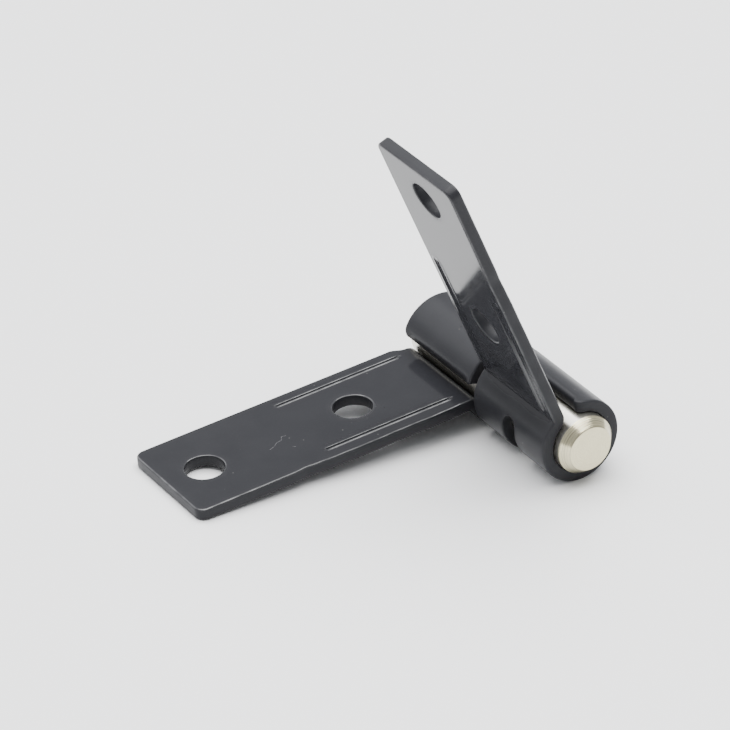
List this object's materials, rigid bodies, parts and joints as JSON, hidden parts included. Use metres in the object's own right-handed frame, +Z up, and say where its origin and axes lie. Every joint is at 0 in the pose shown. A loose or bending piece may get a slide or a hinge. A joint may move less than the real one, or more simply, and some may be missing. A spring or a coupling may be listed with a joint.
{
  "type": "t hinge",
  "caption": "Small T-shaped friction hinge: narrow drilled sheet-steel leaves, black coated, curled side by side round a bright plated pin.",
  "frame": {"origin": "centre of the bounding box's base, on the surface that the free edge of the fixed leaf and the barrel lie on", "axes": "+X from the fixed leaf's free edge towards the barrel, +Y along the pin, +Z up"},
  "size_m": [0.0382, 0.0274, 0.0355],
  "materials": {
    "fixed_leaf_coating": "semi-gloss black coating over pressed sheet steel, with faint orange peel",
    "swing_leaf_coating": "semi-gloss black coating over pressed sheet steel, with faint orange peel",
    "pin_plating": "bright nickel plating on a turned steel pin, with fine turning marks on the chamfers"
  },
  "bodies": {
    "fixed": {"fixed_leaf": "fixed_leaf_coating", "hinge_pin": "pin_plating"},
    "swing": {"swing_leaf": "swing_leaf_coating"}
  },
  "joints": [
    {"name": "leaf_swing", "type": "hinge", "parent": "fixed", "child": "swing", "pos_m": [0.01489, 0, 0.00424], "axis": [0, 1, 0], "continuous": true}
  ]
}
